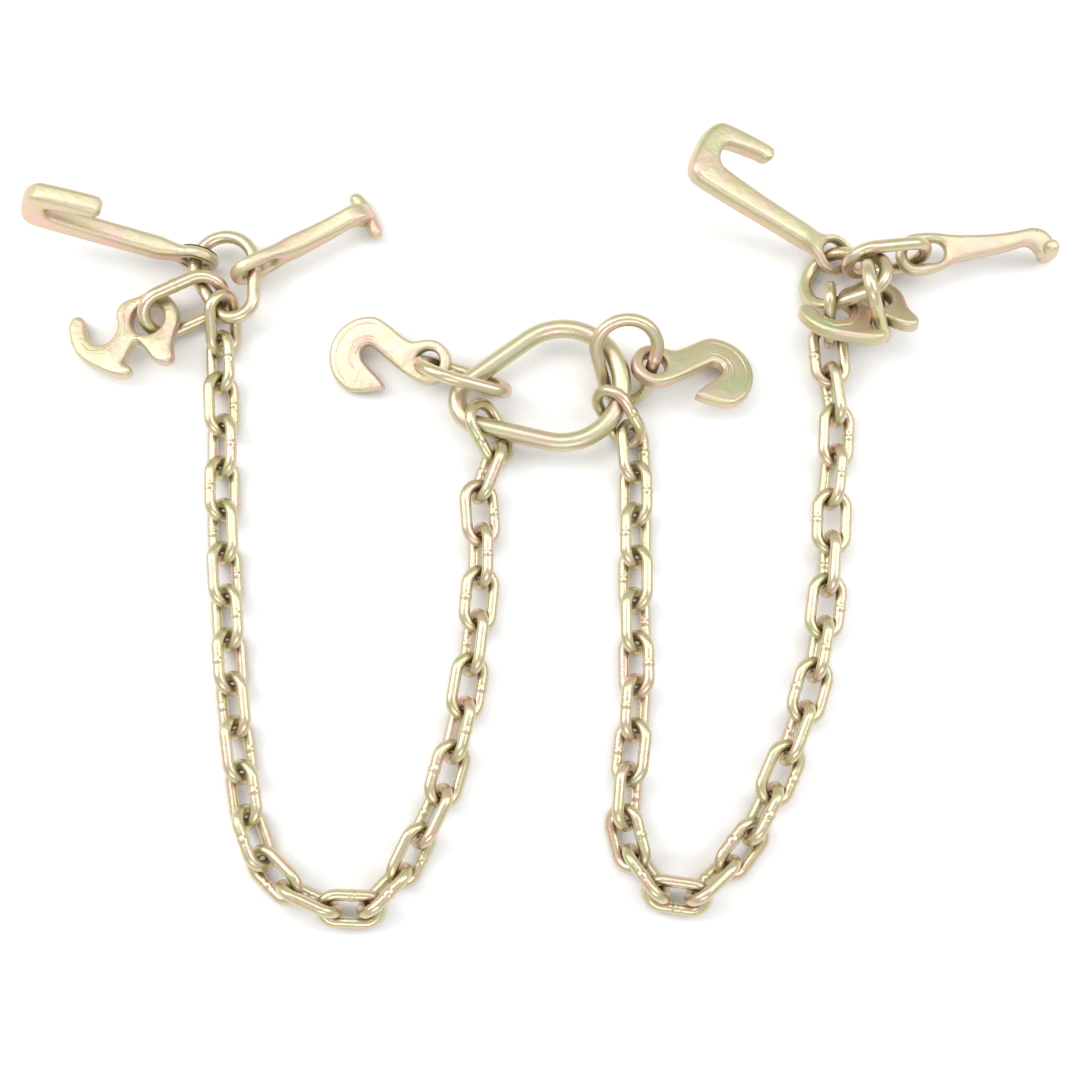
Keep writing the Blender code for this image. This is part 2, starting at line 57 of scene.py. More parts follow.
# ---- driving dimensions (mm) -------------------------------------------------
WIRE = 8.3            # chain wire diameter
PITCH = 32.0          # inside length of a chain link
INNER_W = 12.7        # inside width of a chain link
END_PITCH = 34.9      # inside length of the larger end links on the pear link
END_INNER_W = 16.9    # inside width of the end links
SLACK = 0.8           # play left between two crowns
RING_WIRE = 9.6       # wire of the oval rings and the connecting links
RING_LEN = 73.0       # outside length of an oval ring
RING_WIDE = 53.0      # outside width at the wide end
RING_NARROW = 39.6    # outside width at the narrow end
CONN_LEN = 68.6
CONN_W = 41.4
PEAR_WIRE = 13.4
PEAR_LEN = 130.4
PEAR_WIDE = 97.4
PEAR_NARROW = 49.4
GRAB_T = 10.0         # forging thickness of the grab hook
R_T = 10.0            # forging thickness of the R hook
J_T = 14.6            # J hook shank
J_EYE_T = 9.2
T_T = 13.6            # T hook shank
T_EYE_T = 9.6
T_BAR = 38.0          # length of the T hook's cross bar
LINKS = 28            # chain links in one leg


# ---- outlines -----------------------------------------------------------------
def arc(cx, cy, r, a0, a1, n):
    pts = []
    for i in range(n + 1):
        a = math.radians(a0 + (a1 - a0) * i / n)
        pts.append((cx + r * math.cos(a), cy + r * math.sin(a)))
    return pts


def circle(cx, cy, r, n):
    return arc(cx, cy, r, 0.0, 360.0 - 360.0 / n, n - 1)


def oval_line(out_len, out_w, wire, n):
    """Centre line of a straight-sided link."""
    r = (out_w - wire) / 2.0
    s = (out_len - wire) / 2.0 - r
    return arc(s, 0, r, -90, 90, n) + arc(-s, 0, r, 90, 270, n)


def egg_line(out_len, wide, narrow, wire, n):
    """Centre line of a pear-shaped ring: wide end at -x, narrow end at +x."""
    rw = (wide - wire) / 2.0
    rn = (narrow - wire) / 2.0
    half = (out_len - wire) / 2.0
    xw = -half + rw
    xn = half - rn
    al = math.degrees(math.asin((rw - rn) / (xn - xw)))
    return arc(xn, 0, rn, -90 + al, 90 - al, n) + arc(xw, 0, rw, 90 - al, 270 + al, n + 2)


def inset(line, d):
    """Move a closed counter-clockwise outline inwards by d."""
    n = len(line)
    res = []
    for i in range(n):
        p = Vector(line[i])
        e0 = (p - Vector(line[i - 1])).normalized()
        e1 = (Vector(line[(i + 1) % n]) - p).normalized()
        n0 = Vector((-e0.y, e0.x))
        n1 = Vector((-e1.y, e1.x))
        m = (n0 + n1).normalized()
        k = max(0.6, m.dot(n0))
        res.append(tuple(p + m * (d / k)))
    return res


def blend(x, x0, x1, a, b):
    t = min(1.0, max(0.0, (x - x0) / (x1 - x0)))
    return a + (b - a) * t * t * (3 - 2 * t)


def grab_outline():
    body = arc(-42.4, 10.1, 29.0, 66, 236, 9)
    tip = [(-36.5, -15.0), (-32.5, -12.6)]
    slot = [(-47.0, 7.2)] + arc(-42.6, 12.6, 5.8, 205, 40, 4) + [(-19.5, -4.6)]
    eye = arc(0, 0, 16.4, 222, 452, 9)
    neck = [(-7.0, 15.6), (-14.0, 17.6)]
    return body + tip + slot + eye + neck


def r_outline():
    upper = arc(0, 0, 23.0, -20, 100, 5)
    upper += [(-10.5, 17.0), (-19.0, 14.2), (-24.3, 8.5), (-24.6, 1.0), (-21.0, -5.5)]
    bowl = [(-21.0, -12.5), (-25.0, -20.5), (-32.0, -23.4), (-39.5, -19.5), (-43.8, -13.0)]
    tip = [(-45.4, -6.2), (-49.5, -1.6), (-55.0, -1.8), (-58.0, -6.5)]
    back = [(-56.8, -14.5), (-52.5, -24.0), (-46.0, -32.0), (-36.0, -38.0), (-23.0, -42.8), (-12.0, -45.6)]
    nub = [(-5.5, -44.5), (-3.2, -40.0), (-6.0, -36.6), (-11.5, -35.6)]
    slot = [(-9.5, -25.0), (-5.4, -16.0), (2.0, -21.8), (10.5, -30.8)]
    lobe = [(17.5, -33.6), (23.6, -31.6), (25.0, -26.5), (21.8, -18.0)]
    return upper + bowl + tip + back + nub + slot + lobe


def j_outline():
    eye = arc(0, 0, 15.6, 34, 326, 10)
    low = [(30.0, -7.6), (101.0, -10.6), (108.0, -15.0), (109.0, -25.0), (104.5, -30.0), (78.0, -35.5)]
    tip = arc(76.5, -41.5, 6.6, 76, 256, 4)
    back = [(113.0, -44.5), (119.5, -40.5), (125.4, -29.0), (126.4, -3.0), (122.6, 5.6), (113.0, 9.0)]
    top = [(30.0, 7.6)]
    return eye + low + tip + back + top


def t_outline():
    eye = arc(-3.0, 0, 15.8, 90, 270, 7)
    low = [(11.0, -14.4), (24.0, -8.6), (38.0, -7.4), (54.0, -6.2), (66.0, -4.6), (75.0, -2.6)]
    low += [(80.0, -7.0), (82.5, -13.0)]
    head = [(94.5, -14.0), (95.0, -5.0), (90.0, 5.0), (81.0, 9.0)]
    top = [(70.0, 7.6), (54.0, 7.2), (38.0, 8.6), (24.0, 10.6), (11.0, 14.6)]
    return eye + low + head + top


# ---- where the pieces lie (mm; heading, pitch and roll in degrees) ----------------
# name, kind, x, y, z, heading, pitch, roll, parent
PIECES = [
    ("pear_link", "pear", -0.5, 113.7, 19.3, -169.0, -2.4, 2.0, ""),
    ("grab_ring_left", "ring", -54.2, 122.3, 22.4, -14.1, -13.3, -65.6, "pear_link"),
    ("grab_hook_left", "grab", -78.6, 134.9, 15.4, 5.6, 10.2, 7.2, "grab_ring_left"),
    ("grab_ring_right", "ring", 60.7, 133.2, 26.6, -90.2, -44.0, -3.5, "pear_link"),
    ("grab_hook_right", "grab", 80.0, 130.0, 22.1, 163.0, 6.7, -159.9, "grab_ring_right"),
    ("link_left_28", "endlink", -35.5, 83.5, 16.8, 121.1, 23.7, 40.8, "pear_link"),
    ("link_left_27", "link", -36.2, 55.0, 14.5, -111.1, -4.5, -116.4, "link_left_28"),
    ("link_right_01", "endlink", 55.4, 94.3, 19.3, -56.4, -28.6, 54.6, "pear_link"),
    ("link_right_02", "link", 66.0, 70.7, 11.4, -85.9, 0.6, -43.2, "link_right_01"),
    ("link_left_01", "link", -225.2, 163.4, 16.8, -88.7, -27.0, -43.5, "link_left_02"),
    ("link_left_02", "link", -226.8, 135.6, 12.3, -86.4, 2.3, 47.7, "?"),
    ("oval_ring_left", "ring", -222.6, 197.3, 18.6, -73.7, 5.5, 6.0, "link_left_01"),
    ("j_hook_left", "jhook", -245.3, 212.7, 14.9, 167.7, 12.3, -85.0, "oval_ring_left"),
    ("t_hook_left", "thook", -203.6, 204.7, 19.2, 29.1, -2.1, 88.5, "oval_ring_left"),
    ("connecting_link_left", "conn", -253.6, 177.5, 16.0, 24.0, 2.7, 41.5, "oval_ring_left"),
    ("r_hook_left", "rhook", -278.5, 166.3, 13.2, -7.1, 9.9, -7.6, "connecting_link_left"),
    ("link_right_27", "link", 205.2, 140.8, 13.9, 93.6, 1.8, 5.5, "?"),
    ("link_right_28", "link", 205.8, 169.0, 18.6, -88.6, -28.0, -80.2, "link_right_27"),
    ("oval_ring_right", "ring", 217.0, 194.9, 23.6, -7.9, 36.3, -10.7, "link_right_28"),
    ("j_hook_right", "jhook", 210.4, 216.4, 12.7, 155.8, 22.5, 10.0, "oval_ring_right"),
    ("connecting_link_right_t", "conn", 246.3, 209.4, 25.6, 11.2, -14.7, -102.4, "oval_ring_right"),
    ("t_hook_right", "thook", 272.4, 214.3, 18.7, 6.9, 2.0, 4.7, "connecting_link_right_t"),
    ("connecting_link_right_r", "conn", 236.7, 175.2, 32.0, -54.3, -58.7, -60.1, "oval_ring_right"),
    ("r_hook_right", "rhook", 237.6, 179.8, 14.8, 7.0, -8.6, -34.9, "connecting_link_right_r"),
]

# Corners the two legs pass through between their placed end links (x, y in mm).
ROUTE_LEFT = [(-224, 85), (-222, 24), (-217, -38), (-211, -101), (-203, -157), (-195, -197),
              (-178, -227), (-152, -247), (-121, -249), (-97, -232), (-83, -203), (-69, -176),
              (-53, -115), (-44, -54), (-39, 10)]
ROUTE_RIGHT = [(67, 22), (66, -40), (66, -103), (60, -160), (58, -192), (63, -219), (79, -239),
               (103, -241), (130, -216), (157, -170), (186, -97), (199, -30), (204, 33), (207, 93)]
# Links in the tight corners, which lie off the route: x, y, z, heading, pitch, roll.
CORNER_LINKS = {
    ("left", 14): (-178.7, -223.6, 11.9, 136.0, -10.0, -35.5),
    ("left", 15): (-155.0, -239.4, 15.4, 155.8, 1.3, -108.2),
    ("left", 16): (-127.0, -246.0, 11.3, 178.2, 6.3, 147.5),
    ("left", 17): (-104.4, -233.8, 14.5, -133.6, 5.2, 65.0),
    ("left", 18): (-86.9, -210.5, 12.5, -115.8, -5.2, -45.4),
    ("left", 25): (-41.1, -4.8, 13.4, -90.4, -0.0, 61.2),
    ("left", 26): (-41.9, 25.7, 13.9, -85.6, -3.6, -24.3),
    ("right", 11): (59.3, -199.1, 10.5, -76.1, -1.1, 31.5),
    ("right", 12): (71.8, -222.7, 14.7, -54.6, 5.3, 112.1),
    ("right", 13): (92.1, -237.0, 11.2, -8.4, 5.2, -143.5),
    ("right", 14): (115.9, -227.1, 15.4, 43.0, -9.8, -68.6),
    ("right", 15): (136.6, -206.1, 11.2, 52.5, -1.8, 32.9),
    ("right", 24): (205.1, 51.9, 13.8, 82.6, 0.8, 114.6),
    ("right", 25): (208.5, 81.6, 13.2, 86.2, 2.1, -152.0),
    ("right", 26): (207.1, 111.6, 14.7, 95.9, -2.0, -76.7),
}
# Extra play a bend needs where two crowns cross.
BEND_PLAY = 2.0
# Neighbouring links joined into one piece so that the leg fits in the node budget.
JOINED = (4, 6, 8, 19, 21, 23)


def pose(x, y, z, h, p, r):
    rot = Matrix.Rotation(math.radians(h), 3, "Z") @ Matrix.Rotation(-math.radians(p), 3, "Y")
    rot = rot @ Matrix.Rotation(math.radians(r), 3, "X")
    return Vector((x, y, z)), rot


def spline(pts, k):
    """Catmull-Rom curve through the corners."""
    v = [Vector(p) for p in pts]
    v = [2 * v[0] - v[1]] + v + [2 * v[-1] - v[-2]]
    out = []
    for i in range(1, len(v) - 2):
        a, b, c, d = v[i - 1], v[i], v[i + 1], v[i + 2]
        for j in range(k):
            t = j / k
            bend = (2 * a - 5 * b + 4 * c - d) * t * t + (3 * b - a - 3 * c + d) * t ** 3
            out.append(0.5 * (2 * b + (c - a) * t + bend))
    out.append(v[-2])
    return out


def walk(curve, steps):
    """Points on the curve, one chord after another, running straight on at its end."""
    pts = [curve[0].copy()]
    k = 0
    for step in steps:
        cur = pts[-1]
        while k < len(curve) - 1 and (curve[k + 1] - cur).length < step:
            k += 1
        if k >= len(curve) - 1:
            pts.append(cur + (curve[-1] - curve[-2]).normalized() * step)
            continue
        a, b = curve[k], curve[k + 1]
        lo, hi = 0.0, 1.0
        for _ in range(30):
            m = (lo + hi) / 2
            if (a + (b - a) * m - cur).length < step:
                lo = m
            else:
                hi = m
        pts.append(a + (b - a) * hi)
    return pts


def leg_links(first, last, route):
    """Poses of the links between two placed ones, with the chords shortened for the play the bends take."""
    reach = (PITCH - SLACK) / 2
    way0 = first[1] @ Vector((1, 0, 0)) * first[2]
    way1 = last[1] @ Vector((1, 0, 0)) * last[2]
    start = first[0] + way0 * reach
    end = last[0] - way1 * reach
    count = LINKS - 4
    curve = spline([start.xy] + [Vector(p) for p in route] + [end.xy], 30)
    ahead = (curve[-1] - curve[-2]).normalized()
    roll0 = plane_roll(first)
    turn = plane_roll(last) - (roll0 + 90 * (count + 1))
    turn -= 180 * round(turn / 180)
    cut = [0.0] * count
    for _ in range(6):
        lo, hi = 20.0, 40.0
        for _ in range(50):
            base = (lo + hi) / 2
            if (walk(curve, [base - c for c in cut])[-1] - curve[-1]).dot(ahead) > 0:
                hi = base
            else:
                lo = base
        flat = walk(curve, [base - c for c in cut])
        knots = []
        for i, p in enumerate(flat):
            a = math.radians(roll0 + 90 * (i + 0.5) + turn * (i + 0.5) / (count + 1) + 45)
            high = max(abs(math.sin(a)), abs(math.cos(a)))
            knots.append(Vector((p.x, p.y, WIRE / 2 + (INNER_W + WIRE) / 2 * high + 0.1)))
        knots[0].z = start.z
        knots[-1].z = end.z
        ways = [way0] + [(b - a).normalized() for a, b in zip(knots[:-1], knots[1:])] + [way1]
        loss = []
        for u, v in zip(ways[:-1], ways[1:]):
            half = u.angle(v) / 2
            short = 1 - math.cos(half) / math.sqrt(1 + math.sin(half) ** 2)
            loss.append((WIRE + SLACK) * BEND_PLAY * short)
        cut = [(loss[i] + loss[i + 1]) / 2 for i in range(count)]
    res = []
    for i in range(count):
        a, b = knots[i], knots[i + 1]
        d = b - a
        r = roll0 + 90 * (i + 1) + turn * (i + 1) / (count + 1)
        h = math.degrees(math.atan2(d.y, d.x))
        res.append(pose(*((a + b) / 2), h, math.degrees(math.asin(d.z / d.length)), r))
    return res


def plane_roll(link):
    """Roll of a placed link about its own direction of travel."""
    x = link[1] @ Vector((1, 0, 0)) * link[2]
    n = link[1] @ Vector((0, 0, 1))
    side = Vector((0, 0, 1)).cross(x).normalized()
    up = x.cross(side).normalized()
    return math.degrees(math.atan2(-n.dot(side), n.dot(up)))


# ---- round-edged shapes -----------------------------------------------------------
def resample(line, step):
    """Closed polyline with a point about every step mm."""
    out = []
    for i in range(len(line)):
        a = Vector(line[i])
        b = Vector(line[(i + 1) % len(line)])
        k = max(1, round((b - a).length / step))
        out += [tuple(a.lerp(b, j / k)) for j in range(k)]
    return out


def rounded(line, passes):
    """Corner cutting on a closed outline."""
    for _ in range(passes):
        out = []
        for i in range(len(line)):
            a = Vector(line[i])
            b = Vector(line[(i + 1) % len(line)])
            out += [tuple(a.lerp(b, 0.25)), tuple(a.lerp(b, 0.75))]
        line = out
    return line


def tube(bm, line, radius, sides):
    """Wire along a closed flat line; radius is a function of the point on the line."""
    n = len(line)
    rings = []
    for i in range(n):
        p = Vector((line[i][0], line[i][1], 0.0))
        a = Vector((line[i - 1][0], line[i - 1][1], 0.0))
        b = Vector((line[(i + 1) % n][0], line[(i + 1) % n][1], 0.0))
        t = (b - a).normalized()
        out = Vector((t.y, -t.x, 0.0))
        r = radius(p.x, p.y)
        ring = []
        for k in range(sides):
            w = 2 * math.pi * k / sides
            side = out * r * math.cos(w) + Vector((0, 0, r * math.sin(w)))
            ring.append(bm.verts.new((p + side) * MM))
        rings.append(ring)
    for i in range(n):
        a = rings[i]
        b = rings[(i + 1) % n]
        for k in range(sides):
            bm.faces.new((a[k], a[(k + 1) % sides], b[(k + 1) % sides], b[k]))


def forged(bm, outline, hole, thick, rim):
    """Forging with quarter-round rims; thick is a function of the point."""
    caps = {-1: [], 1: []}
    loops = [outline] + ([list(reversed(hole))] if hole else [])
    for line in loops:
        rows = []
        steps = [(-1, k) for k in range(5)] + [(1, k) for k in range(4, -1, -1)]
        for side, k in steps:
            a = math.radians(90 * k / 4)
            row = []
            ins = inset(line, rim * (1 - math.sin(a)))
            for (x, y), (ox, oy) in zip(ins, line):
                half = thick(ox, oy) / 2.0
                drop = min(rim, half * 0.92)
                z = side * (half - drop * (1 - math.cos(a)))
                row.append(bm.verts.new(Vector((x, y, z)) * MM))
            rows.append(row)
        n = len(line)
        for a, b in zip(rows[:-1], rows[1:]):
            for i in range(n):
                bm.faces.new((a[i], a[(i + 1) % n], b[(i + 1) % n], b[i]))
        caps[-1].append(rows[0])
        caps[1].append(rows[-1])
    for side in (-1, 1):
        edges = []
        for row in caps[side]:
            for i in range(len(row)):
                edges.append(bm.edges.get((row[i], row[(i + 1) % len(row)])))
        bmesh.ops.triangle_fill(bm, edges=edges, use_beauty=True, use_dissolve=False)


def weld(wire, size):
    """Wire radius with a weld seam half way along one side."""
    def radius(x, y):
        r = wire / 2.0 - 0.08
        if y > 0:
            r += size * math.exp(-(x / 1.5) ** 2) - size * 0.5 * math.exp(-((abs(x) - 2.8) / 0.8) ** 2)
        return r
    return radius


def ridge(bm, path, wide, high, z0):
    """Low raised line with tapering ends laid on a flat cheek."""
    rows = []
    n = len(path)
    for i in range(n):
        p = Vector(path[i])
        a = Vector(path[max(0, i - 1)])
        b = Vector(path[min(n - 1, i + 1)])
        t = (b - a).normalized()
        out = Vector((-t.y, t.x))
        fade = min(1.0, min(i, n - 1 - i) / 3.0 + 0.15)
        rows.append([bm.verts.new(Vector((*(p + out * s * wide * fade), z0 + h * high * fade)) * MM)
                     for s, h in ((-1, -0.6), (-0.6, 0.7), (0, 1), (0.6, 0.7), (1, -0.6))])
    for a, b in zip(rows[:-1], rows[1:]):
        for k in range(4):
            bm.faces.new((a[k], a[k + 1], b[k + 1], b[k]))
    for row in (rows[0], rows[-1]):
        bm.faces.new(row)
    for a, b in zip(rows[:-1], rows[1:]):
        bm.faces.new((a[0], b[0], b[4], a[4]))


def fill_link(bm):
    out_l, out_w = PITCH + 2 * WIRE, INNER_W + 2 * WIRE
    line = resample(oval_line(out_l, out_w, WIRE, 18), 0.8)
    tube(bm, line, weld(WIRE, 0.36), 20)


def fill_end_link(bm):
    out_l, out_w = END_PITCH + 2 * WIRE, END_INNER_W + 2 * WIRE
    line = resample(oval_line(out_l, out_w, WIRE, 18), 0.9)
    tube(bm, line, weld(WIRE, 0.3), 20)


def fill_ring(bm):
    line = resample(egg_line(RING_LEN, RING_WIDE, RING_NARROW, RING_WIRE, 22), 1.4)
    tube(bm, line, weld(RING_WIRE, 0.25), 24)


def fill_conn(bm):
    line = resample(oval_line(CONN_LEN, CONN_W, RING_WIRE, 20), 1.2)
    tube(bm, line, weld(RING_WIRE, 0.25), 24)


def fill_pear(bm):
    line = resample(egg_line(PEAR_LEN, PEAR_WIDE, PEAR_NARROW, PEAR_WIRE, 36), 2.0)
    tube(bm, line, lambda x, y: PEAR_WIRE / 2 - 0.05, 32)


def fill_grab(bm):
    line = resample(rounded(grab_outline(), 2), 1.4)
    forged(bm, line, circle(0, 0, 8.4, 40), lambda x, y: GRAB_T, 2.6)
    lines = [arc(-42.4, 10.1, 23.6, 66, 222, 30), arc(-42.4, 10.9, 13.6, 60, 222, 24)]
    for side in (-1, 1):
        for path in lines:
            ridge(bm, path, 1.0, 0.45 * side, side * GRAB_T / 2)
        throat = arc(-42.6, 12.6, 8.6, 190, 44, 14) + [(-27.0, 8.5), (-18.5, -1.5)]
        ridge(bm, throat, 1.3, 0.6 * side, side * GRAB_T / 2)


def fill_r(bm):
    line = resample(rounded(r_outline(), 2), 1.3)
    forged(bm, line, circle(0, 0, 12.2, 40), lambda x, y: R_T, 3.0)
    for side in (-1, 1):
        path = [(-16.5, 9.5), (-18.5, 3.0), (-16.5, -5.0), (-15.5, -12.5)]
        path += [(-19.0, -21.0), (-27.0, -29.0), (-38.0, -29.5), (-47.5, -20.0)]
        dense = []
        for a, b in zip(path[:-1], path[1:]):
            dense += [tuple(Vector(a).lerp(Vector(b), k / 4)) for k in range(4)]
        ridge(bm, dense, 1.5, 0.6 * side, side * R_T / 2)


def fill_j(bm):
    line = resample(rounded(j_outline(), 2), 1.6)
    forged(bm, line, circle(0, 0, 9.0, 40), lambda x, y: blend(x, 12, 30, J_EYE_T, J_T), 4.4)


def fill_t(bm):
    hole = resample(arc(-3.0, 0, 7.4, 90, 270, 18) + arc(9.0, 0, 7.4, -90, 90, 18), 1.4)
    line = resample(rounded(t_outline(), 2), 1.5)
    forged(bm, line, hole, lambda x, y: blend(x, 14, 34, T_EYE_T, T_T), 3.6)
    rows = []
    across, up = Vector((0.34, -0.94, 0)), Vector((0.94, 0.34, 0))
    for j in range(25):
        s = -math.cos(math.pi * j / 24)
        end = math.sqrt(max(0.0, 1 - (max(0.0, abs(s) - 0.72) / 0.28) ** 2))
        wide = (6.2 - 1.2 * abs(s)) * (0.35 + 0.65 * end)
        high = 5.5 * (0.4 + 0.6 * end) * (1 - 0.12 * s * s)
        c = Vector((89.0 + 1.5 * (1 - s * s), -9.5, s * T_BAR / 2))
        rows.append([bm.verts.new((c + across * wide * math.cos(w) + up * high * math.sin(w)) * MM)
                     for w in [2 * math.pi * k / 24 for k in range(24)]])
    for a, b in zip(rows[:-1], rows[1:]):
        for k in range(24):
            bm.faces.new((a[k], a[(k + 1) % 24], b[(k + 1) % 24], b[k]))
    bm.faces.new(rows[0])
    bm.faces.new(list(reversed(rows[-1])))


SHAPES = {
    "link": (fill_link, "chain_zinc"),
    "endlink": (fill_end_link, "chain_zinc"),
    "ring": (fill_ring, "ring_zinc"),
    "conn": (fill_conn, "ring_zinc"),
    "pear": (fill_pear, "pear_zinc"),
    "grab": (fill_grab, "hook_zinc"),
    "rhook": (fill_r, "hook_zinc"),
    "jhook": (fill_j, "hook_zinc"),
    "thook": (fill_t, "hook_zinc"),
}


def smooth_mesh(name, fill):
    bm = bmesh.new()
    fill(bm)
    bmesh.ops.remove_doubles(bm, verts=bm.verts, dist=1e-7)
    bmesh.ops.recalc_face_normals(bm, faces=bm.faces)
    me = bpy.data.meshes.new(name)
    bm.to_mesh(me)
    bm.free()
    for poly in me.polygons:
        poly.use_smooth = True
    me.set_sharp_from_angle(angle=math.radians(55))
    return me


# ---- plated metal -----------------------------------------------------------------
def plated(name, base, worn, rough, grain, pits):
    """Yellow-chromate zinc: pale gold with pink and green bands, wear and a forged or drawn skin, plus
    painted light: a painted sheen that shifts with the viewing angle, painted shade on grazing edges and
    painted shade in crevices.
    """
    m = bpy.data.materials.new(name)
    m.use_nodes = True
    t = m.node_tree
    n, link = t.nodes, t.links
    b = n["Principled BSDF"]
    co = n.new("ShaderNodeTexCoord")
    info = n.new("ShaderNodeObjectInfo")
    seed = n.new("ShaderNodeVectorMath")
    seed.operation = "SCALE"
    seed.inputs[0].default_value = (3.1, 1.7, 2.3)
    link.new(info.outputs["Random"], seed.inputs["Scale"])
    place = n.new("ShaderNodeVectorMath")
    place.operation = "ADD"
    link.new(co.outputs["Object"], place.inputs[0])
    link.new(seed.outputs[0], place.inputs[1])

    def noise(scale, detail, roughness):
        x = n.new("ShaderNodeTexNoise")
        x.inputs["Scale"].default_value = scale
        x.inputs["Detail"].default_value = detail
        x.inputs["Roughness"].default_value = roughness
        link.new(place.outputs[0], x.inputs["Vector"])
        return x

    def ramp(source, stops):
        r = n.new("ShaderNodeValToRGB")
        r.color_ramp.interpolation = "EASE"
        while len(r.color_ramp.elements) < len(stops):
            r.color_ramp.elements.new(0.5)
        for e, (p, c) in zip(r.color_ramp.elements, stops):
            e.position = p
            e.color = (c[0], c[1], c[2], 1.0)
        link.new(source, r.inputs[0])
        return r

    def mix(fac, a, c, mode="MIX"):
        x = n.new("ShaderNodeMix")
        x.data_type = "RGBA"
        x.blend_type = mode
        if isinstance(fac, float):
            x.inputs[0].default_value = fac
        else:
            link.new(fac, x.inputs[0])
        link.new(a, x.inputs[6])
        if isinstance(c, tuple):
            x.inputs[7].default_value = (c[0], c[1], c[2], 1.0)
        else:
            link.new(c, x.inputs[7])
        return x.outputs[2]

    tint = noise(48.0, 2.0, 0.5)
    pink = (min(1, base[0] * 1.22), base[1] * 0.84, base[2] * 1.05)
    green = (base[0] * 0.80, base[1] * 1.05, base[2] * 0.70)
    gold = (base[0] * 1.04, base[1] * 0.98, base[2] * 0.78)
    spread = [(0.30, green), (0.40, base), (0.47, gold), (0.53, base), (0.62, pink), (0.76, base)]
    bands = ramp(tint.outputs["Fac"], spread)
    # Painted sheen and painted shade: the colour shifts through green, pink and gold with the viewing angle
    # and darkens to a painted shade on the grazing edges.
    face = n.new("ShaderNodeLayerWeight")
    face.inputs["Blend"].default_value = 0.45
    # Painted shade colour for the grazing edges.
    grazing_edge_shade = (base[0] * 0.45, base[1] * 0.42, base[2] * 0.32)
    turn = [(0.05, base), (0.32, green), (0.55, pink), (0.74, gold), (0.97, grazing_edge_shade)]
    angle_tint_and_edge_shade = ramp(face.outputs["Facing"], turn)
    col = mix(0.50, bands.outputs[0], angle_tint_and_edge_shade.outputs[0])
    wear = noise(150.0, 6.0, 0.65)
    rub = ramp(wear.outputs["Fac"], [(0.60, (0, 0, 0)), (0.74, (1, 1, 1))])
    fade = n.new("ShaderNodeMath")
    fade.operation = "MULTIPLY"
    fade.inputs[1].default_value = 0.35
    link.new(rub.outputs[0], fade.inputs[0])
    col = mix(fade.outputs[0], col, worn)
    # Painted shade: ambient occlusion darkens the colour in crevices and where parts meet.
    ao = n.new("ShaderNodeAmbientOcclusion")
    ao.samples = 8
    ao.inputs["Distance"].default_value = 0.010
    crevice_shade = ramp(ao.outputs["AO"], [(0.10, (0.30, 0.23, 0.13)), (0.75, (1, 1, 1))])
    col = mix(0.85, col, crevice_shade.outputs[0], "MULTIPLY")
    link.new(col, b.inputs["Base Color"])
    b.inputs["Metallic"].default_value = 0.88
    smear = noise(210.0, 5.0, 0.6)
    span = n.new("ShaderNodeMapRange")
    span.inputs["To Min"].default_value = rough - 0.09
    span.inputs["To Max"].default_value = rough + 0.13
    link.new(smear.outputs["Fac"], span.inputs["Value"])
    link.new(span.outputs["Result"], b.inputs["Roughness"])
    skin = noise(grain, 4.0, 0.6)
    dents = noise(grain * 0.22, 2.0, 0.5)
    both = n.new("ShaderNodeMath")
    both.operation = "MULTIPLY_ADD"
    both.inputs[1].default_value = 1.6
    link.new(dents.outputs["Fac"], both.inputs[0])
    link.new(skin.outputs["Fac"], both.inputs[2])
    bump = n.new("ShaderNodeBump")
    bump.inputs["Strength"].default_value = pits
    bump.inputs["Distance"].default_value = 0.0004
    link.new(both.outputs[0], bump.inputs["Height"])
    link.new(bump.outputs[0], b.inputs["Normal"])
    return m


MATS = {
    "chain_zinc": plated("chain_plating", (0.64, 0.56, 0.39), (0.60, 0.59, 0.53), 0.27, 800.0, 0.22),
    "ring_zinc": plated("ring_plating", (0.66, 0.57, 0.41), (0.61, 0.60, 0.54), 0.28, 750.0, 0.24),
    "pear_zinc": plated("pear_plating", (0.62, 0.57, 0.40), (0.60, 0.59, 0.53), 0.33, 620.0, 0.32),
    "hook_zinc": plated("hook_plating", (0.65, 0.57, 0.41), (0.58, 0.60, 0.61), 0.38, 900.0, 0.55),
}


# ---- every piece in its place -------------------------------------------------------
def all_pieces():
    """(piece name, CAD node, kind, position, rotation) of every separate piece, in mm."""
    placed = {}
    rows = []
    for name, kind, x, y, z, h, p, r, _ in PIECES:
        placed[name] = pose(x, y, z, h, p, r)
        rows.append((name, name, kind) + placed[name])

    def way(name, other):
        c, rot = placed[name]
        return 1.0 if (placed[other][0] - c).dot(rot @ Vector((1, 0, 0))) > 0 else -1.0

    for side, route, ends in (
            ("left", list(reversed(ROUTE_LEFT)), (28, 27, 2, 1)),
            ("right", ROUTE_RIGHT, (1, 2, 27, 28))):
        near, first, last, far = ["link_%s_%02d" % (side, n) for n in ends]
        a, b = placed[first], placed[last]
        links = leg_links((a[0], a[1], -way(first, near)), (b[0], b[1], way(last, far)), route)
        numbers = list(range(26, 2, -1)) if side == "left" else list(range(3, 27))
        for n, ps in zip(numbers, links):
            ps = pose(*CORNER_LINKS[(side, n)]) if (side, n) in CORNER_LINKS else ps
            low = n if n in JOINED else n - 1
            node = "link_%s_%02d_%02d" % (side, low, low + 1) if low in JOINED else "link_%s_%02d" % (side, n)
            rows.append(("link_%s_%02d" % (side, n), node, "link") + ps)
    return rows


